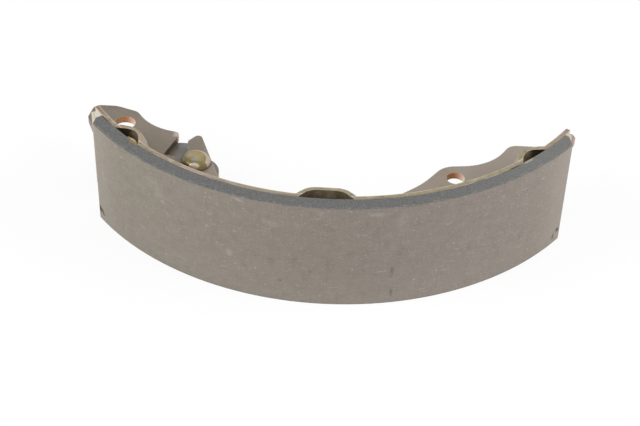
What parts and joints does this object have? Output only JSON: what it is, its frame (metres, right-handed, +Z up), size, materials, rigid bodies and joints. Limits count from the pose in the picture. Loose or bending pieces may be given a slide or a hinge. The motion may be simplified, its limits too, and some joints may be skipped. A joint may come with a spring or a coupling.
{
  "type": "drum brake shoe",
  "caption": "Curved drum brake shoe of T section with a bonded friction lining, a flat web with fixing holes and a notch, and a pivoted parking-brake lever under the web.",
  "frame": {"origin": "crown of the friction face on the shoe's lower edge; the drum's axis stands parallel to Z at Y = +0.1 m", "axes": "-Y is the way the friction face looks at its crown, toward the drum's wall; X runs from one end of the shoe to the other, with the lever's pivot on the -X side; +Z goes up across the shoe's width"},
  "size_m": [0.1727, 0.076, 0.04],
  "materials": {
    "friction_lining": "ground, speckled",
    "shoe_steel": "satin olive coat",
    "yellow_zinc": "yellow zinc plate",
    "lever_steel": "satin",
    "spring_steel": "oiled"
  },
  "bodies": {
    "shoe": {"lining": "friction_lining", "table": "shoe_steel", "web": "shoe_steel", "lever_pin": "yellow_zinc", "wave_washer": "spring_steel", "retaining_clip": "spring_steel"},
    "lever": {"parking_lever": "lever_steel"}
  },
  "joints": [
    {"name": "lever_pivot", "type": "hinge", "parent": "shoe", "child": "lever", "pos_m": [-0.04602, 0.04498, 0.01735], "axis": [0, 0, 1], "range_deg": [0, 20]}
  ]
}
